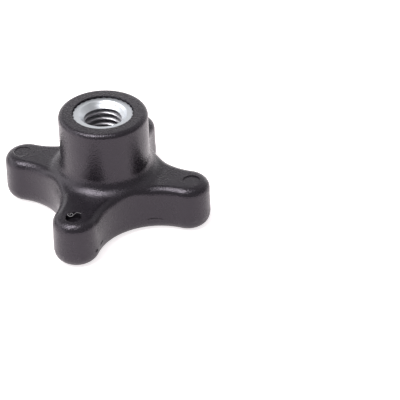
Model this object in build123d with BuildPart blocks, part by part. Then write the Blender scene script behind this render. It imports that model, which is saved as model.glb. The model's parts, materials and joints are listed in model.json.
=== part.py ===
"""Four-lobe star knob with a moulded-in threaded bush.

One thermoplastic moulding carries a knurled steel bush.  The knob stands on its
flat grip face: z = 0 is that face, +Z is the hub axis and the lobes point along
X and Y.  Dimensions are in millimetres and degrees.
"""

import os
from math import cos, radians, sin, tan

from build123d import *

# ---- knob body ---------------------------------------------------------------
PALM_DIAMETER = 50.0  # across two opposite lobe tips
LOBE_COUNT = 4
LOBE_TIP_RADIUS = 5.2  # plan radius of a lobe tip
WAIST_RADIUS = 13.0  # knob axis to the middle of a flank
ARM_HEIGHT = 11.3  # grip face to the top of the lobes
PARTING_HEIGHT = 3.1  # grip face to the mould parting line
GRIP_DRAFT = 3.0  # draft of the flanks below the parting line
ARM_DRAFT = 1.4  # draft of the flanks above the parting line
GRIP_EDGE_RADIUS = 2.5
ARM_EDGE_RADIUS = 2.05
WITNESS_HEIGHT = 0.1  # parting line witness, along the axis
WITNESS_PROUD = 0.03  # and how far it stands off the flank
GATE_WIDTH = 2.4  # trimmed gate in the middle of one flank
GATE_HEIGHT = 0.9
GATE_PROUD = 0.2
GATE_ROOT = 0.5  # how far the gate's block reaches into the flank
GATE_FLANK = 1  # flanks count anticlockwise from the one past the +X lobe

# ---- hub ---------------------------------------------------------------------
KNOB_HEIGHT = 26.0  # grip face to the clamping face
HUB_DIAMETER = 20.3  # at the clamping face
HUB_DRAFT = 0.4
HUB_RIM_RADIUS = 1.15
HUB_FILLET_RADIUS = 3.2  # hub into the arms
RECESS_DIAMETER = 14.4  # round the bush, in the clamping face
RECESS_DEPTH = 0.6
BUSH_SETBACK = 0.35  # clamping face to the end of the bush

# ---- hole in the grip face -----------------------------------------------------
HOLE_DIAMETER = 12.4
HOLE_DEPTH = 10.8
HOLE_END_DIAMETER = 11.7  # where the bush starts
HOLE_CHAMFER = 0.2
SEAT_DIAMETER = 15.7  # shallow seat for a cover cap
SEAT_DEPTH = 0.65
SEAT_CHAMFER = 0.2

# ---- ejector pin marks on the lobes ----------------------------------------------
PIN_MARK_DIAMETER = 4.0
PIN_MARK_RADIUS = 20.7  # knob axis to the middle of a mark
PIN_MARK_DEPTHS = (0.35, 0.25, 0.25, 0.90)  # from the +X lobe, anticlockwise

# ---- threaded bush -----------------------------------------------------------
THREAD_DIAMETER = 10.0
THREAD_PITCH = 1.5
BUSH_DIAMETER = 13.7  # over the knurl
BUSH_LENGTH = 13.0
KNURL_COUNT = 30
KNURL_DEPTH = 0.25
GROOVE_WIDTH = 2.4  # retaining groove half way along the bush
GROOVE_DEPTH = 0.8
BUSH_CHAMFER = 0.1
COUNTERSINK_DIAMETER = 10.9  # at both ends, 90 degrees

# ---- derived -----------------------------------------------------------------
LOBE_STEP = 360 / LOBE_COUNT
LOBE_CENTRE = PALM_DIAMETER / 2 - LOBE_TIP_RADIUS  # axis to the middle of a lobe tip
FLANK_COS = cos(radians(LOBE_STEP / 2))
# Radius of the hollow flank that is tangent to both of its lobe tips.
FLANK_RADIUS = (
    LOBE_CENTRE**2 + WAIST_RADIUS**2 - LOBE_TIP_RADIUS**2
    - 2 * LOBE_CENTRE * WAIST_RADIUS * FLANK_COS
) / (2 * (LOBE_CENTRE * FLANK_COS + LOBE_TIP_RADIUS - WAIST_RADIUS))
FLANK_CENTRE = WAIST_RADIUS + FLANK_RADIUS

BUSH_TOP = KNOB_HEIGHT - BUSH_SETBACK
BUSH_BOTTOM = BUSH_TOP - BUSH_LENGTH
BUSH_MIDDLE = (BUSH_TOP + BUSH_BOTTOM) / 2
CORE_DIAMETER = THREAD_DIAMETER - 1.0825 * THREAD_PITCH  # nut thread minor diameter
COUNTERSINK_DEPTH = (COUNTERSINK_DIAMETER - CORE_DIAMETER) / 2


def polar(radius: float, angle: float) -> Vector:
    """Point in the plan at a radius and an angle in degrees."""
    return Vector(radius * cos(radians(angle)), radius * sin(radians(angle)))


def palm_plan(plane: Plane, proud: float = 0.0) -> Sketch:
    """Lobed plan of the palm on a plane, stood off its flanks by proud."""
    tip_radius = LOBE_TIP_RADIUS + proud
    flank_radius = FLANK_RADIUS - proud
    # Half the sweep of a lobe tip, to where its flank takes over.
    tip_sweep = (polar(FLANK_CENTRE, LOBE_STEP / 2) - polar(LOBE_CENTRE, 0)).get_signed_angle(
        Vector(1, 0), Vector(0, 0, -1)
    )
    flank_sweep = 2 * (tip_sweep - LOBE_STEP / 2)
    with BuildSketch(plane) as plan:
        with BuildLine():
            for lobe in range(LOBE_COUNT):
                tip_angle = lobe * LOBE_STEP
                flank_angle = tip_angle + LOBE_STEP / 2
                CenterArc(polar(LOBE_CENTRE, tip_angle), tip_radius, tip_angle - tip_sweep, 2 * tip_sweep)
                CenterArc(
                    polar(FLANK_CENTRE, flank_angle),
                    flank_radius,
                    flank_angle + 180 + flank_sweep / 2,
                    -flank_sweep,
                )
        make_face()
    return plan.sketch


# ---- bush blank: knurled bar with its groove and chamfers ----------------------
with BuildPart() as bush_blank:
    with BuildSketch(Plane.XY.offset(BUSH_BOTTOM)):
        with BuildLine():
            half_step = 180 / KNURL_COUNT
            tooth_points = [
                polar(BUSH_DIAMETER / 2 - KNURL_DEPTH * (point % 2), point * half_step)
                for point in range(2 * KNURL_COUNT)
            ]
            Polyline(*tooth_points, close=True)
        make_face()
    extrude(amount=BUSH_LENGTH)
    # The turned form trims the teeth: end chamfers and the retaining groove.
    with BuildSketch(Plane.XZ):
        with BuildLine():
            outer = BUSH_DIAMETER / 2
            neck = outer - GROOVE_DEPTH
            Polyline(
                (0, BUSH_BOTTOM),
                (outer - BUSH_CHAMFER, BUSH_BOTTOM),
                (outer, BUSH_BOTTOM + BUSH_CHAMFER),
                (outer, BUSH_MIDDLE - GROOVE_WIDTH / 2),
                (neck, BUSH_MIDDLE - GROOVE_WIDTH / 2),
                (neck, BUSH_MIDDLE + GROOVE_WIDTH / 2),
                (outer, BUSH_MIDDLE + GROOVE_WIDTH / 2),
                (outer, BUSH_TOP - BUSH_CHAMFER),
                (outer - BUSH_CHAMFER, BUSH_TOP),
                (0, BUSH_TOP),
                close=True,
            )
        make_face()
    revolve(axis=Axis.Z, mode=Mode.INTERSECT)

# ---- threaded bush: the blank, bored to the thread's minor diameter -------------
with BuildPart() as threaded_bush:
    add(bush_blank.part)
    with BuildSketch(Plane.XZ):
        with BuildLine():
            Polyline(
                (0, BUSH_BOTTOM),
                (COUNTERSINK_DIAMETER / 2, BUSH_BOTTOM),
                (CORE_DIAMETER / 2, BUSH_BOTTOM + COUNTERSINK_DEPTH),
                (CORE_DIAMETER / 2, BUSH_TOP - COUNTERSINK_DEPTH),
                (COUNTERSINK_DIAMETER / 2, BUSH_TOP),
                (0, BUSH_TOP),
                close=True,
            )
        make_face()
    revolve(axis=Axis.Z, mode=Mode.SUBTRACT)

# ---- knob body: lobed palm and hub in one moulding ------------------------------
with BuildPart() as knob_body:
    parting_plane = Plane.XY.offset(PARTING_HEIGHT)
    add(palm_plan(parting_plane))
    extrude(amount=-PARTING_HEIGHT, taper=GRIP_DRAFT)
    add(palm_plan(parting_plane))
    extrude(amount=KNOB_HEIGHT - PARTING_HEIGHT, taper=ARM_DRAFT)
    # The turned form trims the drafted block to the arms, the hub and the fillet
    # between them.
    with BuildSketch(Plane.XZ):
        with BuildLine():
            hub_radius = HUB_DIAMETER / 2
            hub_foot = hub_radius + (KNOB_HEIGHT - ARM_HEIGHT) * tan(radians(HUB_DRAFT))
            Polyline(
                (0, 0),
                (PALM_DIAMETER, 0),
                (PALM_DIAMETER, ARM_HEIGHT),
                (hub_foot, ARM_HEIGHT),
                (hub_radius, KNOB_HEIGHT),
                (0, KNOB_HEIGHT),
                close=True,
            )
        make_face()
        foot_corner = vertices().sort_by_distance((hub_foot, ARM_HEIGHT))[0]
        fillet(foot_corner, HUB_FILLET_RADIUS)
        rim_corner = vertices().sort_by_distance((hub_radius, KNOB_HEIGHT))[0]
        fillet(rim_corner, HUB_RIM_RADIUS)
    revolve(axis=Axis.Z, mode=Mode.INTERSECT)

    # Rounded edges: the arms' upper edge all the way round, then the grip edge.
    arm_walls = faces().filter_by(lambda face: PARTING_HEIGHT < face.center().Z < ARM_HEIGHT)
    arm_rim = arm_walls.edges().filter_by(
        lambda edge: min(corner.Z for corner in edge.vertices()) > (PARTING_HEIGHT + ARM_HEIGHT) / 2
    )
    fillet(arm_rim, ARM_EDGE_RADIUS)
    fillet(faces().sort_by(Axis.Z)[0].edges(), GRIP_EDGE_RADIUS)

    # Witness of the mould's parting line, and the trimmed gate on it.
    add(palm_plan(Plane.XY.offset(PARTING_HEIGHT - WITNESS_HEIGHT / 2), WITNESS_PROUD))
    extrude(amount=WITNESS_HEIGHT)
    gate_angle = (GATE_FLANK + 0.5) * LOBE_STEP
    gate_face = Plane(
        origin=polar(WAIST_RADIUS + GATE_PROUD, gate_angle) + Vector(0, 0, PARTING_HEIGHT),
        x_dir=polar(1, gate_angle + 90),
        z_dir=polar(1, gate_angle),
    )
    with BuildSketch(gate_face):
        Rectangle(GATE_WIDTH, GATE_HEIGHT)
    extrude(amount=-(GATE_PROUD + GATE_ROOT))

    # Ejector pin marks, one on each lobe.
    for lobe, depth in enumerate(PIN_MARK_DEPTHS):
        with Locations(polar(PIN_MARK_RADIUS, lobe * LOBE_STEP) + Vector(0, 0, ARM_HEIGHT)):
            Hole(PIN_MARK_DIAMETER / 2, depth)

    # Cap seat and hole in the grip face, up to the bush.
    with BuildSketch(Plane.XZ):
        with BuildLine():
            seat = SEAT_DIAMETER / 2
            hole = HOLE_DIAMETER / 2
            Polyline(
                (0, 0),
                (seat + SEAT_CHAMFER, 0),
                (seat, SEAT_CHAMFER),
                (seat, SEAT_DEPTH),
                (hole + HOLE_CHAMFER, SEAT_DEPTH),
                (hole, SEAT_DEPTH + HOLE_CHAMFER),
                (hole, HOLE_DEPTH),
                (HOLE_END_DIAMETER / 2, BUSH_BOTTOM),
                (0, BUSH_BOTTOM),
                close=True,
            )
        make_face()
    revolve(axis=Axis.Z, mode=Mode.SUBTRACT)

    # Recess in the clamping face, and the bush's own space.
    with Locations((0, 0, KNOB_HEIGHT)):
        Hole(RECESS_DIAMETER / 2, RECESS_DEPTH)
    add(bush_blank.part, mode=Mode.SUBTRACT)

threaded_bush.part.label = "threaded_bush"
knob_body.part.label = "knob_body"

os.makedirs("parts", exist_ok=True)
export_step(knob_body.part, "parts/knob_body.step")
export_step(threaded_bush.part, "parts/threaded_bush.step")
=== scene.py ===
"""Finish, light and camera for the four-lobe star knob.

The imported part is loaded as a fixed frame. Two pieces are dressed round it: the
moulded body, smoothed and grained, and the knurled bush with its real thread.
Lengths are in metres. Outer sizes and the bores' radii come from the frame's boxes
and mounts; marks, burrs and turned details are placed by the named fields below.
"""

import json
import logging
import math
from collections.abc import Callable, Iterable, Iterator
from contextlib import contextmanager
from dataclasses import dataclass, field
from enum import Enum

import bmesh
import bpy
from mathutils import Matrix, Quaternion, Vector

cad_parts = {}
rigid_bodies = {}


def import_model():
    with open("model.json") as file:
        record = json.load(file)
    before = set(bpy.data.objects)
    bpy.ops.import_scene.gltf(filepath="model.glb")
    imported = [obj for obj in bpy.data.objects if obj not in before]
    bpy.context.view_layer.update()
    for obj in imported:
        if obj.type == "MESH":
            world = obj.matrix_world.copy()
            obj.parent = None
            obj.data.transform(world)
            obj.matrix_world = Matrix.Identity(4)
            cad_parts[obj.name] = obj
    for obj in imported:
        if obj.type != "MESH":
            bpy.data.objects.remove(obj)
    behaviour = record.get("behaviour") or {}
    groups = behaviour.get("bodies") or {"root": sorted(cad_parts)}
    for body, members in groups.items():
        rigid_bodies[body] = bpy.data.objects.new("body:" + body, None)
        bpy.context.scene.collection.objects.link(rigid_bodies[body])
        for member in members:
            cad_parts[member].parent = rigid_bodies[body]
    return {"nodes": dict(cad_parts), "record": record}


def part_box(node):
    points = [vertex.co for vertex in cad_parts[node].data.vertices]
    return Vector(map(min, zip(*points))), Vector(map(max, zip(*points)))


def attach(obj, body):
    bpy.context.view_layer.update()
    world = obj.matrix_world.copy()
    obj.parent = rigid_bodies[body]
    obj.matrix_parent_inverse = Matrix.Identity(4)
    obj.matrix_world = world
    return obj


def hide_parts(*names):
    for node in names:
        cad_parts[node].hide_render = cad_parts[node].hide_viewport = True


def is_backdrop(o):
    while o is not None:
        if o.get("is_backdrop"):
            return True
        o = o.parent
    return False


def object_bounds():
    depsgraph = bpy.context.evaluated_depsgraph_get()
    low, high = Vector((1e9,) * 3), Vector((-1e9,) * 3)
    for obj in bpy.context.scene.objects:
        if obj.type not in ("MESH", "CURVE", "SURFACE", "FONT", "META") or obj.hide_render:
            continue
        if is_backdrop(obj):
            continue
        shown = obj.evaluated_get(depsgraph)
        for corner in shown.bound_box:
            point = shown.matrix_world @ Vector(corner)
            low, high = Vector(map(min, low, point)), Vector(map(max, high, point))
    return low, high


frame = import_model()

MM = 0.001
# How close a point has to lie to a plane or a wall to count as on it.
TOUCH = 0.01 * MM
# How far past a round wall's radius its points are still picked.
SLACK = 0.02 * MM
# A face is level when its normal's height is over the first, upright when under the second.
LEVEL = 0.9
UPRIGHT = 0.1
ROOT_BODY = "root"

# The moulding's black, and the same black where it is a little worn.
BLACK = (0.0125, 0.0105, 0.0137, 1.0)
WORN_BLACK = (0.0155, 0.0132, 0.0168, 1.0)

log = logging.getLogger("star_knob")

Colour = tuple[float, float, float, float]
Place = tuple[float, float, float]
Socket = bpy.types.NodeSocket
VertTest = Callable[[Vector], bool]
FaceTest = Callable[[Vector, Vector], bool]


class Element(Enum):
    """What an edit-mode selection picks."""

    VERT = "VERT"
    EDGE = "EDGE"
    FACE = "FACE"


# ---- edit-mode helpers ---------------------------------------------------------------


def radius_of(point: Vector) -> float:
    """Distance of a point from the knob's axis."""
    return math.hypot(point.x, point.y)


def deselect_objects() -> None:
    """Leave object mode's selection empty."""
    for obj in bpy.context.view_layer.objects:
        obj.select_set(False)


def activate(obj: bpy.types.Object) -> None:
    """Make one object the only selected and active one."""
    deselect_objects()
    obj.select_set(True)
    bpy.context.view_layer.objects.active = obj


@contextmanager
def editing(obj: bpy.types.Object) -> Iterator[None]:
    """Keep one object in edit mode for the length of a with block."""
    activate(obj)
    bpy.ops.object.mode_set(mode="EDIT")
    yield
    bpy.ops.object.mode_set(mode="OBJECT")


def name_piece(name: str) -> bpy.types.Object:
    """Name the object that an operator just added.

    Args:
        name: The piece's plain name, used for its mesh too.

    Returns:
        The active object.
    """
    piece = bpy.context.view_layer.objects.active
    piece.name = name
    piece.data.name = name
    return piece


def pick_verts(obj: bpy.types.Object, test: VertTest) -> None:
    """Select the vertices whose place passes a test, in edit mode."""
    _pick(obj, Element.VERT, lambda item: test(item.co))


def pick_edges(obj: bpy.types.Object, test: VertTest) -> None:
    """Select the edges whose two ends both pass a test, in edit mode."""
    _pick(obj, Element.EDGE, lambda item: all(test(vert.co) for vert in item.verts))


def pick_faces(obj: bpy.types.Object, test: FaceTest) -> None:
    """Select the faces whose middle and normal pass a test, in edit mode."""
    _pick(obj, Element.FACE, lambda item: test(item.calc_center_median(), item.normal))


def _pick(obj: bpy.types.Object, element: Element, test: Callable[..., bool]) -> None:
    """Select the elements of one kind that pass a test.

    Args:
        obj: The object, in edit mode.
        element: The kind of element.
        test: Takes the bmesh element.
    """
    bpy.ops.mesh.select_mode(type=element.value)
    bpy.ops.mesh.select_all(action="DESELECT")
    mesh = bmesh.from_edit_mesh(obj.data)
    mesh.normal_update()
    rows = {Element.VERT: mesh.verts, Element.EDGE: mesh.edges, Element.FACE: mesh.faces}
    for item in rows[element]:
        if test(item):
            item.select_set(True)
    mesh.select_flush_mode()
    bmesh.update_edit_mesh(obj.data)


def scale_across(size: float, centre: Vector = Vector((0.0, 0.0, 0.0))) -> None:
    """Scale the selection across the knob's axis, its height kept.

    Args:
        size: The factor.
        centre: The point that stays where it is.
    """
    bpy.ops.transform.resize(value=(size, size, 1.0), center_override=centre)


def apply_modifier(obj: bpy.types.Object, kind: str, **values: object) -> None:
    """Add a modifier, set its values and apply it.

    Args:
        obj: The object to change.
        kind: The modifier's type.
        values: Its settings, by name.
    """
    activate(obj)
    modifier = obj.modifiers.new(kind.lower(), kind)
    for key, value in values.items():
        setattr(modifier, key, value)
    bpy.ops.object.modifier_apply(modifier=modifier.name)


def smooth(obj: bpy.types.Object, angle: float) -> None:
    """Shade smooth, with edges sharper than an angle in degrees kept crisp."""
    activate(obj)
    bpy.ops.object.shade_smooth_by_angle(angle=math.radians(angle))


# ---- shader helpers ------------------------------------------------------------------


class Nodes:
    """A small builder for one node tree."""

    def __init__(self, tree: bpy.types.NodeTree) -> None:
        """Keep the tree that nodes are added to."""
        self.tree = tree

    def add(self, kind: str, **values: object) -> bpy.types.Node:
        """Add a node and set its plain properties.

        Args:
            kind: The node's type.
            values: Properties by name.

        Returns:
            The new node.
        """
        node = self.tree.nodes.new(kind)
        for key, value in values.items():
            setattr(node, key, value)
        return node

    def link(self, source: Socket, target: Socket) -> None:
        """Join two sockets."""
        self.tree.links.new(source, target)

    def feed(self, value: Colour | float | Socket, target: Socket) -> None:
        """Join a socket to an input, or set the input to a plain value."""
        if isinstance(value, bpy.types.NodeSocket):
            self.link(value, target)
        else:
            target.default_value = value

    def math(self, operation: str, *values: float | Socket) -> Socket:
        """Add a math node.

        Args:
            operation: The operation's name.
            values: Numbers or sockets, in order.

        Returns:
            The result socket.
        """
        node = self.add("ShaderNodeMath", operation=operation)
        for index, value in enumerate(values):
            self.feed(value, node.inputs[index])
        return node.outputs[0]

    def blend(self, first: Socket, second: Socket, share: float) -> Socket:
        """Add two values, the first with its share and the second with the rest."""
        return self.math(
            "ADD",
            self.math("MULTIPLY", first, share),
            self.math("MULTIPLY", second, 1.0 - share),
        )

    def noise(
        self, place: Socket, scale: float | Socket, detail: float, roughness: float
    ) -> Socket:
        """Add a noise texture and return its factor.

        Args:
            place: The coordinates.
            scale: Cells per metre, a number or a socket.
            detail: Octaves.
            roughness: Weight of the finer octaves.

        Returns:
            The factor socket.
        """
        node = self.add("ShaderNodeTexNoise")
        self.link(place, node.inputs["Vector"])
        self.feed(scale, node.inputs["Scale"])
        node.inputs["Detail"].default_value = detail
        node.inputs["Roughness"].default_value = roughness
        return node.outputs["Fac"]

    def remap(
        self,
        value: Socket,
        low: float,
        high: float,
        to_low: float | Socket,
        to_high: float | Socket,
    ) -> Socket:
        """Map a value from one range to another, clamped."""
        node = self.add("ShaderNodeMapRange")
        self.link(value, node.inputs["Value"])
        node.inputs["From Min"].default_value = low
        node.inputs["From Max"].default_value = high
        self.feed(to_low, node.inputs["To Min"])
        self.feed(to_high, node.inputs["To Max"])
        return node.outputs["Result"]

    def mix_colour(
        self, factor: Socket, first: Colour | Socket, second: Colour | Socket
    ) -> Socket:
        """Mix two colours by a factor."""
        node = self.add("ShaderNodeMix", data_type="RGBA")
        self.link(factor, node.inputs["Factor"])
        self.feed(first, node.inputs[6])
        self.feed(second, node.inputs[7])
        return node.outputs[2]

    def object_place(self) -> Socket:
        """Add the object's own coordinates."""
        return self.add("ShaderNodeTexCoord").outputs["Object"]


@dataclass(frozen=True)
class SurfacePattern:
    """A shared node group that turns a scale into one value over a surface."""

    name: str
    output: str

    def group(self) -> bpy.types.NodeTree:
        """Find the group, or make it on the first call.

        Returns:
            The node group.
        """
        if self.name in bpy.data.node_groups:
            return bpy.data.node_groups[self.name]
        tree = bpy.data.node_groups.new(self.name, "ShaderNodeTree")
        tree.interface.new_socket("Scale", in_out="INPUT", socket_type="NodeSocketFloat")
        tree.interface.new_socket(self.output, in_out="OUTPUT", socket_type="NodeSocketFloat")
        nodes = Nodes(tree)
        scale = nodes.add("NodeGroupInput").outputs["Scale"]
        leave = nodes.add("NodeGroupOutput")
        value = self._value(nodes, nodes.object_place(), scale)
        nodes.link(value, leave.inputs[self.output])
        return tree

    def _value(self, nodes: Nodes, place: Socket, scale: Socket) -> Socket:
        """Work out the value at a place, for a scale in cells per metre."""
        raise NotImplementedError


@dataclass(frozen=True)
class Mottle(SurfacePattern):
    """Slow and quick variation of a surface, as a mask from 0 to 1."""

    name: str = "surface_mottle"
    output: str = "Mask"
    slow_detail: float = 3.0
    slow_roughness: float = 0.55
    slow_share: float = 0.6
    quick_scale: float = 7.3
    quick_detail: float = 4.0
    quick_roughness: float = 0.6
    span: tuple[float, float] = (0.35, 0.65)

    def _value(self, nodes: Nodes, place: Socket, scale: Socket) -> Socket:
        """Blend two noises and stretch the middle of their range."""
        slow = nodes.noise(place, scale, self.slow_detail, self.slow_roughness)
        quick_scale = nodes.math("MULTIPLY", scale, self.quick_scale)
        quick = nodes.noise(place, quick_scale, self.quick_detail, self.quick_roughness)
        return nodes.remap(nodes.blend(slow, quick, self.slow_share), *self.span, 0.0, 1.0)


@dataclass(frozen=True)
class Grain(SurfacePattern):
    """Fine pitted grain, as a height."""

    name: str = "surface_grain"
    output: str = "Height"
    smoothness: float = 0.4
    pit_share: float = 0.9
    fine_scale: float = 2.7
    fine_detail: float = 1.0
    fine_roughness: float = 0.5

    def _value(self, nodes: Nodes, place: Socket, scale: Socket) -> Socket:
        """Blend rounded pits with a little finer noise."""
        pits = nodes.add("ShaderNodeTexVoronoi", feature="SMOOTH_F1")
        nodes.link(place, pits.inputs["Vector"])
        nodes.link(scale, pits.inputs["Scale"])
        pits.inputs["Smoothness"].default_value = self.smoothness
        fine_scale = nodes.math("MULTIPLY", scale, self.fine_scale)
        fine = nodes.noise(place, fine_scale, self.fine_detail, self.fine_roughness)
        return nodes.blend(pits.outputs["Distance"], fine, self.pit_share)


def start_material(name: str) -> tuple[bpy.types.Material, Nodes, bpy.types.Node]:
    """Make a material that uses nodes.

    Args:
        name: The material's name.

    Returns:
        The material, the builder of its tree and its Principled shader.
    """
    material = bpy.data.materials.new(name)
    material.use_nodes = True
    return material, Nodes(material.node_tree), material.node_tree.nodes["Principled BSDF"]


def use_pattern(nodes: Nodes, pattern: SurfacePattern, scale: float) -> Socket:
    """Place a shared pattern in a material with its own scale.

    Args:
        nodes: The material's builder.
        pattern: The shared pattern.
        scale: Cells per metre.

    Returns:
        The pattern's value.
    """
    node = nodes.add("ShaderNodeGroup", node_tree=pattern.group())
    node.inputs["Scale"].default_value = scale
    return node.outputs[pattern.output]


def bump(nodes: Nodes, height: Socket, depth: float) -> Socket:
    """Turn a height into a normal.

    Args:
        nodes: The material's builder.
        height: Height from 0 to 1.
        depth: What a height of 1 stands for, in metres.

    Returns:
        The normal socket.
    """
    node = nodes.add("ShaderNodeBump")
    node.inputs["Distance"].default_value = depth
    nodes.link(height, node.inputs["Height"])
    return node.outputs["Normal"]


@dataclass(frozen=True)
class MouldedPlastic:
    """Black thermoplastic from a spark-eroded mould."""

    name: str
    base: Colour
    worn: Colour
    roughness_low: float
    roughness_high: float
    grain_scale: float
    grain_depth: float
    mottle_scale: float = 260.0
    ior: float = 1.5
    specular: float = 0.525
    sheen_tint: Colour = (0.96, 0.88, 1.0, 1.0)

    def material(self) -> bpy.types.Material:
        """Build the material.

        Returns:
            A node material for the moulding.
        """
        material, nodes, shader = start_material(self.name)
        mottle = use_pattern(nodes, Mottle(), self.mottle_scale)
        grain = use_pattern(nodes, Grain(), self.grain_scale)
        colour = nodes.mix_colour(mottle, self.base, self.worn)
        nodes.link(colour, shader.inputs["Base Color"])
        rough = nodes.remap(mottle, 0.0, 1.0, self.roughness_low, self.roughness_high)
        nodes.link(rough, shader.inputs["Roughness"])
        nodes.link(bump(nodes, grain, self.grain_depth), shader.inputs["Normal"])
        shader.inputs["IOR"].default_value = self.ior
        shader.inputs["Specular IOR Level"].default_value = self.specular
        shader.inputs["Specular Tint"].default_value = self.sheen_tint
        return material


@dataclass(frozen=True)
class ZincPlate:
    """Bright zinc plating on turned steel."""

    name: str
    base: Colour
    dull: Colour
    # The bore's grey is painted shade, darker than the plating on the face.
    bore: Colour
    roughness_low: float
    roughness_high: float
    ring_pitch: float
    ring_depth: float
    mottle_scale: float = 900.0
    grain_scale: float = 2600.0
    grain_depth: float = 0.001 * MM
    # Length over which the painted shade in the bore fades in at its mouth.
    fade: float = 0.3 * MM

    def material(self, mouth: float) -> bpy.types.Material:
        """Build the material.

        Args:
            mouth: Height below which the bore is painted darker, as painted shade down the bore.

        Returns:
            A node material with turning rings round the axis.
        """
        material, nodes, shader = start_material(self.name)
        mottle = use_pattern(nodes, Mottle(), self.mottle_scale)
        grain = use_pattern(nodes, Grain(), self.grain_scale)
        parts = nodes.add("ShaderNodeSeparateXYZ")
        nodes.link(nodes.object_place(), parts.inputs[0])
        across, along, height = parts.outputs
        face = nodes.mix_colour(mottle, self.base, self.dull)
        # Painted shade: below the mouth the colour darkens to the bore's grey.
        depth = nodes.remap(height, mouth - self.fade, mouth, 0.0, 1.0)
        nodes.link(nodes.mix_colour(depth, self.bore, face), shader.inputs["Base Color"])
        rough = nodes.remap(mottle, 0.0, 1.0, self.roughness_low, self.roughness_high)
        nodes.link(rough, shader.inputs["Roughness"])
        shader.inputs["Metallic"].default_value = 1.0
        rings = self._rings(nodes, across, along)
        rings = nodes.math("MULTIPLY", rings, self.ring_depth / self.grain_depth)
        relief = nodes.math("ADD", rings, grain)
        nodes.link(bump(nodes, relief, self.grain_depth), shader.inputs["Normal"])
        return material

    def _rings(self, nodes: Nodes, across: Socket, along: Socket) -> Socket:
        """Add the tool marks, fine waves of the distance from the axis.

        Args:
            nodes: The material's builder.
            across: Place along x.
            along: Place along y.

        Returns:
            The waves, from 0 to 1.
        """
        square = nodes.math(
            "ADD",
            nodes.math("MULTIPLY", across, across),
            nodes.math("MULTIPLY", along, along),
        )
        reach = nodes.math("SQRT", square)
        phase = nodes.math("MULTIPLY", reach, math.tau / self.ring_pitch)
        return nodes.math("MULTIPLY_ADD", nodes.math("SINE", phase), 0.5, 0.5)


# ---- the two pieces ------------------------------------------------------------------


@dataclass(frozen=True)
class RoundMark:
    """How far a lobe's round mark is pressed in beyond the solid's own depth."""

    lobe: int
    sink: float
    size: float = 1.0


class Trace(Enum):
    """How a thread of flash or a burr looks: pale grey as a painted highlight, or near black as
    painted shade.
    """

    # Pale grey: a painted highlight on thin raised plastic.
    FRAYED = "frayed"
    # Near black and dull: painted shade.
    SHADED = "shaded"


@dataclass(frozen=True)
class FlashThread:
    """A thin thread of plastic, through points in mm from the middle of a lobe's mark."""

    name: str
    lobe: int
    points: tuple[Place, ...]
    thickness: float
    # The finish is pale as a painted highlight by default, or near black as painted shade.
    finish: Trace = Trace.FRAYED
    order: int = 3
    steps: int = 4
    bevel_steps: int = 1

    def build(self, centre: Vector) -> bpy.types.Object:
        """Draw the thread as a thin tube.

        Args:
            centre: Middle of the mark, on the lobe's top.

        Returns:
            The tube as a mesh.
        """
        deselect_objects()
        bpy.ops.curve.primitive_nurbs_path_add(location=(0.0, 0.0, 0.0))
        thread = name_piece(self.name)
        thread.data.splines.clear()
        spline = thread.data.splines.new("NURBS")
        spline.points.add(len(self.points) - 1)
        for knot, place in zip(spline.points, self.points):
            knot.co = (*(centre + Vector(place) * MM), 1.0)
        spline.order_u = self.order
        spline.use_endpoint_u = True
        thread.data.resolution_u = self.steps
        thread.data.bevel_depth = self.thickness / 2
        thread.data.bevel_resolution = self.bevel_steps
        thread.data.use_fill_caps = True
        bpy.ops.object.convert(target="MESH")
        return thread


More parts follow.
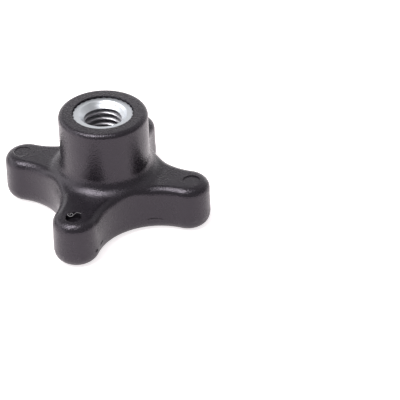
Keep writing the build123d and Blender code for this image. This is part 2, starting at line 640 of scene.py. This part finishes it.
@dataclass
class KnobBody:
    """The black moulding: palm, lobes and hub."""

    hole_radius: float
    node: str = "knob_body"
    slot: str = "body_plastic"
    name: str = "knob_moulding"
    merge_gap: float = 0.0005 * MM
    crisp_angle: float = 28.0
    face_weight: int = 80
    lobe_count: int = 4
    arm_top: float = 11.3 * MM
    # The parting line: its height, the band and radius that hold its points, and the
    # distance below which they are merged.
    parting_height: float = 3.1 * MM
    parting_band: float = 0.1 * MM
    parting_inner: float = 9.36 * MM
    witness_gap: float = 0.045 * MM
    # The recess round the bush: its wall, the band and depth that hold its points, and
    # how far it closes in.
    recess_radius: float = 7.2 * MM
    recess_band: float = 0.05 * MM
    recess_depth: float = 0.8 * MM
    recess_close: float = 0.25 * MM
    # The round marks: distance from the axis, radius, height of the wall that stays
    # under the lobe's top, and how far down their points are looked for.
    mark_reach: float = 20.7 * MM
    mark_radius: float = 2.0 * MM
    mark_rim: float = 0.1 * MM
    mark_depth: float = 1.5 * MM
    marks: tuple[RoundMark, ...] = (
        RoundMark(lobe=0, sink=-0.17 * MM),
        RoundMark(lobe=2, sink=-0.15 * MM),
        RoundMark(lobe=3, sink=0.5 * MM, size=0.88),
    )
    threads: tuple[FlashThread, ...] = (
        # Flash in the front mark; its pale colour is a painted highlight.
        FlashThread(
            name="flash_curl",
            lobe=3,
            points=(
                (-1.5, 0.9, 0.02),
                (-1.6, 0.4, 0.15),
                (-1.1, 0.0, 0.12),
                (-0.5, 0.0, 0.05),
                (-0.2, 0.6, 0.10),
                (-0.7, 1.1, 0.20),
                (-1.2, 0.7, 0.22),
                (-0.8, 0.3, 0.25),
            ),
            thickness=0.14 * MM,
        ),
        FlashThread(
            name="flash_strand",
            lobe=3,
            points=(
                (-0.3, 0.5, 0.08),
                (0.0, 1.2, 0.20),
                (0.3, 1.6, 0.22),
                (0.8, 1.6, 0.12),
                (1.2, 1.8, 0.02),
            ),
            thickness=0.11 * MM,
        ),
        # A thin dark thread along the parting line, near black as painted shade where the flank's
        # shading turns.
        FlashThread(
            name="parting_line_painted_shade",
            lobe=3,
            points=(
                (4.7, -1.2, -8.2),
                (5.15, 0.1, -8.15),
                (5.2, 2.3, -8.1),
                (5.3, 3.4, -7.8),
            ),
            thickness=0.08 * MM,
            finish=Trace.SHADED,
        ),
        # A small nib at the parting line, near black as painted shade.
        FlashThread(
            name="parting_nib",
            lobe=3,
            points=((5.0, -0.4, -8.3), (5.15, -0.1, -8.15), (5.2, 0.2, -8.0)),
            thickness=0.28 * MM,
            finish=Trace.SHADED,
        ),
        # A burr on the flank, near black as painted shade so that it reads as a dark line.
        FlashThread(
            name="flank_burr",
            lobe=0,
            points=(
                (-8.4, -6.9, -8.0),
                (-7.5, -6.45, -7.8),
                (-6.4, -6.0, -7.85),
                (-5.1, -5.6, -8.1),
            ),
            thickness=0.07 * MM,
            finish=Trace.SHADED,
        ),
        # A lip round the left mark, pale as a painted highlight along its rim.
        FlashThread(
            name="mark_lip",
            lobe=2,
            points=(
                (-2.3, -0.5, -0.02),
                (-1.4, -1.75, 0.0),
                (-0.1, -2.08, 0.0),
                (1.0, -1.64, 0.0),
                (1.5, -0.6, 0.0),
            ),
            thickness=0.07 * MM,
        ),
    )
    # Pale grey: a painted highlight on the flash in the front mark and on the left mark's lip.
    frayed: MouldedPlastic = field(
        default_factory=lambda: MouldedPlastic(
            name="painted_highlight_flash",
            base=(0.20, 0.19, 0.20, 1.0),
            worn=(0.30, 0.29, 0.30, 1.0),
            roughness_low=0.30,
            roughness_high=0.40,
            grain_scale=3000.0,
            grain_depth=0.01 * MM,
        )
    )
    # Near black and dull: painted shade on the parting line, the nib and the flank burr.
    shaded: MouldedPlastic = field(
        default_factory=lambda: MouldedPlastic(
            name="painted_shade_flash",
            base=(0.004, 0.004, 0.004, 1.0),
            worn=(0.006, 0.006, 0.006, 1.0),
            roughness_low=0.50,
            roughness_high=0.60,
            grain_scale=3000.0,
            grain_depth=0.01 * MM,
            specular=0.2,
        )
    )
    skin: MouldedPlastic = field(
        default_factory=lambda: MouldedPlastic(
            name="sparked_black",
            base=BLACK,
            worn=WORN_BLACK,
            roughness_low=0.24,
            roughness_high=0.29,
            grain_scale=3300.0,
            grain_depth=0.047 * MM,
        )
    )
    core: MouldedPlastic = field(
        default_factory=lambda: MouldedPlastic(
            name="cored_black",
            base=BLACK,
            worn=WORN_BLACK,
            roughness_low=0.22,
            roughness_high=0.30,
            grain_scale=1400.0,
            grain_depth=0.003 * MM,
        )
    )

    def build(self) -> bpy.types.Object:
        """Make the smooth-shaded moulding from the frame's solid.

        Returns:
            The finished piece.
        """
        piece = self._copy_solid()
        self._dress(piece)
        self._flatten_parting(piece)
        self._narrow_recess(piece)
        self._press_marks(piece)
        self._add_threads(piece)
        smooth(piece, self.crisp_angle)
        apply_modifier(piece, "WEIGHTED_NORMAL", keep_sharp=True, weight=self.face_weight)
        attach(piece, ROOT_BODY)
        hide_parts(self.node)
        return piece

    def _copy_solid(self) -> bpy.types.Object:
        """Copy the solid's mesh and join its loose triangles."""
        source = frame["nodes"][self.node]
        piece = bpy.data.objects.new(self.name, source.data.copy())
        piece.data.name = self.name
        bpy.context.scene.collection.objects.link(piece)
        activate(piece)
        bpy.ops.mesh.customdata_custom_splitnormals_clear()
        with editing(piece):
            bpy.ops.mesh.select_all(action="SELECT")
            bpy.ops.mesh.remove_doubles(threshold=self.merge_gap)
        return piece

    def _dress(self, piece: bpy.types.Object) -> None:
        """Give the outside its grain and the cored hole its smoother skin."""
        piece.data.materials.clear()
        piece.data.materials.append(self.skin.material())
        piece.data.materials.append(self.core.material())
        low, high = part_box(self.node)
        half_way = (low.z + high.z) / 2
        limit = self.hole_radius + SLACK
        with editing(piece):
            pick_faces(
                piece, lambda place, normal: radius_of(place) < limit and place.z < half_way
            )
            piece.active_material_index = 1
            bpy.ops.object.material_slot_assign()

    def _mark_place(self, lobe: int) -> Vector:
        """Middle of a lobe's round mark, at the height of the lobe's own top."""
        angle = math.radians(360.0 / self.lobe_count * lobe)
        return Vector(
            (math.cos(angle) * self.mark_reach, math.sin(angle) * self.mark_reach, self.arm_top)
        )

    def _press_marks(self, piece: bpy.types.Object) -> None:
        """Narrow and press or ease the marks in the lobes' tops."""
        limit = self.mark_radius + SLACK
        with editing(piece):
            for mark in self.marks:
                centre = self._mark_place(mark.lobe)

                def in_mark(place: Vector, top: float, centre: Vector = centre) -> bool:
                    """Say whether a point belongs to this mark below a height."""
                    reach = math.hypot(place.x - centre.x, place.y - centre.y)
                    return reach < limit and centre.z - self.mark_depth < place.z < top

                pick_verts(piece, lambda place: in_mark(place, self.arm_top + SLACK))
                scale_across(mark.size, centre)
                pick_verts(piece, lambda place: in_mark(place, self.arm_top - self.mark_rim))
                bpy.ops.transform.translate(value=(0.0, 0.0, -mark.sink))

    def _narrow_recess(self, piece: bpy.types.Object) -> None:
        """Close the moulding in round the bush's upper end."""
        _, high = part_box(self.node)
        with editing(piece):
            pick_verts(
                piece,
                lambda place: abs(radius_of(place) - self.recess_radius) < self.recess_band
                and place.z > high.z - self.recess_depth,
            )
            scale_across(1 - self.recess_close / self.recess_radius)

    def _flatten_parting(self, piece: bpy.types.Object) -> None:
        """Flatten the witness of the parting line, so that it is only just seen."""
        with editing(piece):
            pick_verts(
                piece,
                lambda place: abs(place.z - self.parting_height) < self.parting_band
                and radius_of(place) > self.parting_inner,
            )
            bpy.ops.mesh.remove_doubles(threshold=self.witness_gap)

    def _add_threads(self, piece: bpy.types.Object) -> None:
        """Join the flash and the burrs to the moulding."""
        threads = [thread.build(self._mark_place(thread.lobe)) for thread in self.threads]
        # Each thread takes the pale painted highlight or the near-black painted shade.
        finishes = {Trace.FRAYED: self.frayed.material(), Trace.SHADED: self.shaded.material()}
        for plan, thread in zip(self.threads, threads):
            thread.data.materials.clear()
            thread.data.materials.append(finishes[plan.finish])
        activate(piece)
        for thread in threads:
            thread.select_set(True)
        bpy.ops.object.join()


@dataclass
class ThreadedBush:
    """The knurled steel bush with its right-hand thread."""

    core_radius: float
    node: str = "threaded_bush"
    slot: str = "bush_steel"
    name: str = "bush_threaded"
    thread_radius: float = 5.0 * MM
    pitch: float = 1.5 * MM
    flank_angle: float = 30.0
    # How far the cutter stands inside the bore, and the gap at which its turns join.
    cutter_inset: float = 0.15 * MM
    cutter_gap: float = 0.0001 * MM
    countersink_radius: float = 5.45 * MM
    chamfer: float = 0.07 * MM
    setback: float = 0.08 * MM
    groove_width: float = 2.4 * MM
    groove_depth: float = 0.8 * MM
    knurl_count: int = 30
    knurl_depth: float = 0.22 * MM
    columns_per_tooth: int = 6
    cutter_steps: int = 120
    crisp_angle: float = 32.0
    plate: ZincPlate = field(
        default_factory=lambda: ZincPlate(
            name="zinc_plate",
            base=(0.75, 0.77, 0.81, 1.0),
            dull=(0.69, 0.71, 0.75, 1.0),
            # The bore's darker grey is painted shade down the bore.
            bore=(0.48, 0.47, 0.50, 1.0),
            roughness_low=0.35,
            roughness_high=0.41,
            ring_pitch=0.22 * MM,
            ring_depth=0.0006 * MM,
        )
    )

    def build(self) -> bpy.types.Object:
        """Turn, knurl, bore and thread the bush.

        Returns:
            The finished piece.
        """
        low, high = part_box(self.node)
        top = high.z - self.setback
        piece = self._turn(low.z, top, high.x)
        self._groove(piece, (low.z + high.z) / 2, high.x)
        self._knurl(piece, high.x)
        cutter = self._thread_cutter(low.z, top)
        apply_modifier(piece, "BOOLEAN", object=cutter, operation="DIFFERENCE", solver="EXACT")
        bpy.data.objects.remove(cutter, do_unlink=True)
        piece.data.materials.clear()
        piece.data.materials.append(self.plate.material(top - self._sink()))
        smooth(piece, self.crisp_angle)
        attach(piece, ROOT_BODY)
        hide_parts(self.node)
        return piece

    def _sink(self) -> float:
        """Depth of a countersink, whose wall stands at 45 degrees."""
        return self.countersink_radius - self.core_radius

    def _turn(self, bottom: float, top: float, outer: float) -> bpy.types.Object:
        """Turn the bar: both countersinks, the bore and the end chamfers.

        Args:
            bottom: Height of the lower end.
            top: Height of the upper end.
            outer: Radius of the bar.

        Returns:
            The turned blank.
        """
        deselect_objects()
        bpy.ops.mesh.primitive_cylinder_add(
            vertices=self.knurl_count * self.columns_per_tooth,
            radius=outer,
            depth=top - bottom,
            location=(0.0, 0.0, (top + bottom) / 2),
        )
        piece = name_piece(self.name)
        bpy.ops.object.transform_apply(location=True, rotation=True, scale=True)
        with editing(piece):
            pick_faces(piece, lambda place, normal: abs(normal.z) > LEVEL)
            bpy.ops.mesh.inset(thickness=outer - self.countersink_radius)
            bpy.ops.mesh.inset(thickness=self._sink(), depth=-self._sink())
            bpy.ops.mesh.delete(type="ONLY_FACE")
            pick_edges(piece, lambda place: radius_of(place) < self.core_radius + TOUCH)
            bpy.ops.mesh.bridge_edge_loops()
            pick_edges(
                piece,
                lambda place: radius_of(place) > outer - TOUCH
                and min(abs(place.z - bottom), abs(place.z - top)) < TOUCH,
            )
            bpy.ops.mesh.bevel(offset=self.chamfer, segments=1)
        return piece

    def _groove(self, piece: bpy.types.Object, middle: float, outer: float) -> None:
        """Cut the retaining groove half way along.

        Args:
            piece: The turned blank.
            middle: Height of the groove's middle.
            outer: Radius of the blank.
        """
        half = self.groove_width / 2
        wall = outer - self.chamfer
        with editing(piece):
            for height in (middle - half, middle + half):
                pick_faces(
                    piece, lambda place, normal: radius_of(place) > wall and abs(normal.z) < UPRIGHT
                )
                bpy.ops.mesh.bisect(plane_co=(0.0, 0.0, height), plane_no=(0.0, 0.0, 1.0))
            pick_faces(
                piece,
                lambda place, normal: radius_of(place) > wall and abs(place.z - middle) < half,
            )
            bpy.ops.mesh.extrude_region_move()
            scale_across(1 - self.groove_depth / outer)

    def _knurl(self, piece: bpy.types.Object, outer: float) -> None:
        """Press the rounded knurl into the outside, column by column.

        Args:
            piece: The turned blank.
            outer: Radius over the knurl.
        """
        edge = outer - self.chamfer - SLACK
        step = math.tau / (self.knurl_count * self.columns_per_tooth)
        with editing(piece):
            for column in range(1, self.columns_per_tooth):
                wave = (1 - math.cos(math.tau * column / self.columns_per_tooth)) / 2

                def in_column(place: Vector, column: int = column) -> bool:
                    """Say whether a point is on the outside in this column."""
                    index = round(math.atan2(place.y, place.x) / step)
                    return radius_of(place) > edge and index % self.columns_per_tooth == column

                pick_verts(piece, in_column)
                scale_across(1 - self.knurl_depth * wave / outer)

    def _thread_cutter(self, bottom: float, top: float) -> bpy.types.Object:
        """Wind the thread's tooth form into a closed coil.

        Args:
            bottom: Height of the bush's lower end.
            top: Height of its upper end.

        Returns:
            The coil, to be taken away from the bush.
        """
        # The root flat of a metric thread is an eighth of its pitch.
        root_flat = self.pitch / 8
        slope = math.tan(math.radians(self.flank_angle))
        inner = self.core_radius - self.cutter_inset
        mouth = root_flat + 2 * slope * (self.thread_radius - inner)
        start = bottom - self.pitch
        turns = math.ceil((top - bottom) / self.pitch) + 2
        deselect_objects()
        bpy.ops.mesh.primitive_plane_add(
            size=1.0, location=(0.0, 0.0, 0.0), rotation=(math.radians(90.0), 0.0, 0.0)
        )
        coil = name_piece("thread_cutter")
        bpy.ops.object.transform_apply(location=True, rotation=True, scale=True)
        with editing(coil):
            bpy.ops.mesh.select_all(action="SELECT")
            bpy.ops.mesh.delete(type="ONLY_FACE")
            bpy.ops.mesh.select_mode(type="VERT")
        for vert in coil.data.vertices:
            out = vert.co.x > 0
            half = (root_flat if out else mouth) / 2
            vert.co = Vector(
                (self.thread_radius if out else inner, 0.0, start + math.copysign(half, vert.co.z))
            )
        apply_modifier(
            coil,
            "SCREW",
            axis="Z",
            angle=math.tau,
            screw_offset=self.pitch,
            iterations=turns,
            steps=self.cutter_steps,
            render_steps=self.cutter_steps,
            use_merge_vertices=False,
        )
        with editing(coil):
            bpy.ops.mesh.select_all(action="SELECT")
            bpy.ops.mesh.remove_doubles(threshold=self.cutter_gap)
            bpy.ops.mesh.fill_holes(sides=4)
            bpy.ops.mesh.select_all(action="SELECT")
            bpy.ops.mesh.normals_make_consistent(inside=False)
        return coil


# ---- studio --------------------------------------------------------------------------


def direction(heading: float, elevation: float) -> Vector:
    """Unit vector toward a heading, in degrees from the front, and an elevation."""
    turn, rise = math.radians(heading), math.radians(elevation)
    return Vector(
        (math.sin(turn) * math.cos(rise), -math.cos(turn) * math.cos(rise), math.sin(rise))
    )


@dataclass(frozen=True)
class SoftBox:
    """A rectangular area lamp that faces the knob."""

    name: str
    heading: float
    elevation: float
    distance: float
    width: float
    height: float
    radiance: float

    def build(self, centre: Vector) -> None:
        """Hang the lamp round the point that it faces."""
        away = direction(self.heading, self.elevation)
        data = bpy.data.lights.new(self.name, "AREA")
        data.shape = "RECTANGLE"
        data.size = self.width
        data.size_y = self.height
        # An area lamp of power W and area A shines with a radiance of W / (A * pi).
        data.energy = self.radiance * self.width * self.height * math.pi
        lamp = bpy.data.objects.new(self.name, data)
        lamp.location = centre + away * self.distance
        lamp.rotation_mode = "QUATERNION"
        lamp.rotation_quaternion = (-away).to_track_quat("-Z", "Y")
        bpy.context.scene.collection.objects.link(lamp)


@dataclass
class Studio:
    """Pale floor, plain soft light and the camera."""

    floor_size: float = 1.6
    floor_colour: Colour = (0.86, 0.80, 0.82, 1.0)
    floor_roughness: float = 0.9
    # Share of white that the floor adds near the knob, to the camera and to mirrors.
    floor_lift: float = 0.80
    mirrored_lift: float = 0.60
    floor_glow: Colour = (1.0, 0.965, 0.975, 1.0)
    # Distances from the axis between which that share grows to full white.
    shadow_reach: tuple[float, float] = (0.08, 0.30)
    # Strength of the world as light, and as it is seen in mirrors.
    ambient: float = 0.14
    mirrored_white: float = 0.35
    boxes: tuple[SoftBox, ...] = (
        SoftBox("key_box", -35.0, 58.0, 0.60, 0.25, 0.25, 8.6),
        SoftBox("top_left_box", -60.0, 75.0, 0.60, 0.25, 0.20, 8.6),
        SoftBox("top_box", 5.0, 72.0, 0.60, 0.25, 0.20, 4.6),
        SoftBox("left_low_box", -55.0, 10.0, 0.60, 0.45, 0.25, 1.55),
        SoftBox("left_side_box", -85.0, 30.0, 0.60, 0.45, 0.30, 1.55),
        SoftBox("left_rear_box", -125.0, 20.0, 0.60, 0.45, 0.30, 0.75),
        SoftBox("left_back_box", -152.0, 12.0, 0.60, 0.30, 0.25, 1.0),
        SoftBox("rear_low_box", 180.0, 12.0, 0.70, 0.60, 0.25, 1.3),
        SoftBox("rear_box", 180.0, 35.0, 0.60, 0.50, 0.20, 0.3),
        SoftBox("right_rear_box", 140.0, 15.0, 0.60, 0.40, 0.25, 0.34),
        SoftBox("right_back_box", 140.0, 45.0, 0.60, 0.40, 0.30, 0.3),
    )
    camera_heading: float = 16.9
    camera_elevation: float = 36.1
    camera_roll: float = -0.29
    camera_distance: float = 311.2 * MM
    camera_aim: Place = (20.25 * MM, 8.1 * MM, 0.0)
    camera_lens: float = 118.0
    camera_near: float = 10.0 * MM

    def build(self) -> None:
        """Set up the floor, the world, the lamps and the camera."""
        low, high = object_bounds()
        centre = (low + high) / 2
        self._floor(low.z)
        self._world()
        for box in self.boxes:
            box.build(centre)
        self._camera()
        bpy.context.scene.view_settings.view_transform = "Standard"

    def _floor(self, height: float) -> None:
        """Lay the floor at a height: white, but for the soft shadow close by."""
        deselect_objects()
        bpy.ops.mesh.primitive_plane_add(size=self.floor_size, location=(0.0, 0.0, height))
        floor = name_piece("floor")
        material, nodes, shader = start_material("floor_card")
        shader.inputs["Base Color"].default_value = self.floor_colour
        shader.inputs["Roughness"].default_value = self.floor_roughness
        shader.inputs["Specular IOR Level"].default_value = 0.0
        shader.inputs["Emission Color"].default_value = self.floor_glow
        path = nodes.add("ShaderNodeLightPath")
        mirrored = nodes.math(
            "ADD", path.outputs["Is Glossy Ray"], path.outputs["Is Transmission Ray"]
        )
        mirrored = nodes.math("MULTIPLY", mirrored, self.mirrored_lift / self.floor_lift)
        seen = nodes.math("ADD", path.outputs["Is Camera Ray"], mirrored)
        reach = nodes.add("ShaderNodeVectorMath", operation="LENGTH")
        nodes.link(nodes.object_place(), reach.inputs[0])
        lift = nodes.remap(reach.outputs["Value"], *self.shadow_reach, self.floor_lift, 1.0)
        nodes.link(nodes.math("MULTIPLY", seen, lift), shader.inputs["Emission Strength"])
        floor.data.materials.append(material)
        floor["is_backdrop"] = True

    def _world(self) -> None:
        """Light all round at a plain level, and show white behind the knob."""
        world = bpy.data.worlds.new("studio")
        bpy.context.scene.world = world
        world.use_nodes = True
        nodes = Nodes(world.node_tree)
        background = world.node_tree.nodes["Background"]
        background.inputs["Color"].default_value = (1.0, 1.0, 1.0, 1.0)
        path = nodes.add("ShaderNodeLightPath")
        plain = nodes.remap(
            path.outputs["Is Glossy Ray"], 0.0, 1.0, self.ambient, self.mirrored_white
        )
        strength = nodes.remap(path.outputs["Is Camera Ray"], 0.0, 1.0, plain, 1.0)
        nodes.link(strength, background.inputs["Strength"])

    def _camera(self) -> None:
        """Place the camera on its line of sight and point it at the aim."""
        back = direction(self.camera_heading, self.camera_elevation)
        data = bpy.data.cameras.new("camera")
        data.lens = self.camera_lens
        data.clip_start = self.camera_near
        camera = bpy.data.objects.new("camera", data)
        camera.location = Vector(self.camera_aim) + back * self.camera_distance
        camera.rotation_mode = "QUATERNION"
        roll = Quaternion((0.0, 0.0, 1.0), math.radians(self.camera_roll))
        camera.rotation_quaternion = (-back).to_track_quat("-Z", "Y") @ roll
        bpy.context.scene.collection.objects.link(camera)
        bpy.context.scene.camera = camera


def mount_radius(name: str) -> float:
    """Wall radius of one of the record's round mounts.

    Args:
        name: The mount's name.

    Returns:
        The radius in metres.
    """
    mounts = {mount["name"]: mount for mount in frame["record"]["mounts"]}
    return mounts[name]["dims"]["r_mm"] * MM


def report(piece: bpy.types.Object) -> None:
    """Log a finished piece and its size."""
    faces = len(piece.data.polygons)
    size = ", ".join(f"{side / MM:.1f}" for side in piece.dimensions)
    log.info("%s: %d faces, %s mm", piece.name, faces, size)


def main() -> None:
    """Build the pieces in order, then the studio round them."""
    logging.basicConfig(level=logging.INFO, format="%(name)s: %(message)s")
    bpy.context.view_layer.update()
    report(KnobBody(hole_radius=mount_radius("cap_hole")).build())
    report(ThreadedBush(core_radius=mount_radius("thread")).build())
    Studio().build()


if __name__ == "__main__":
    main()
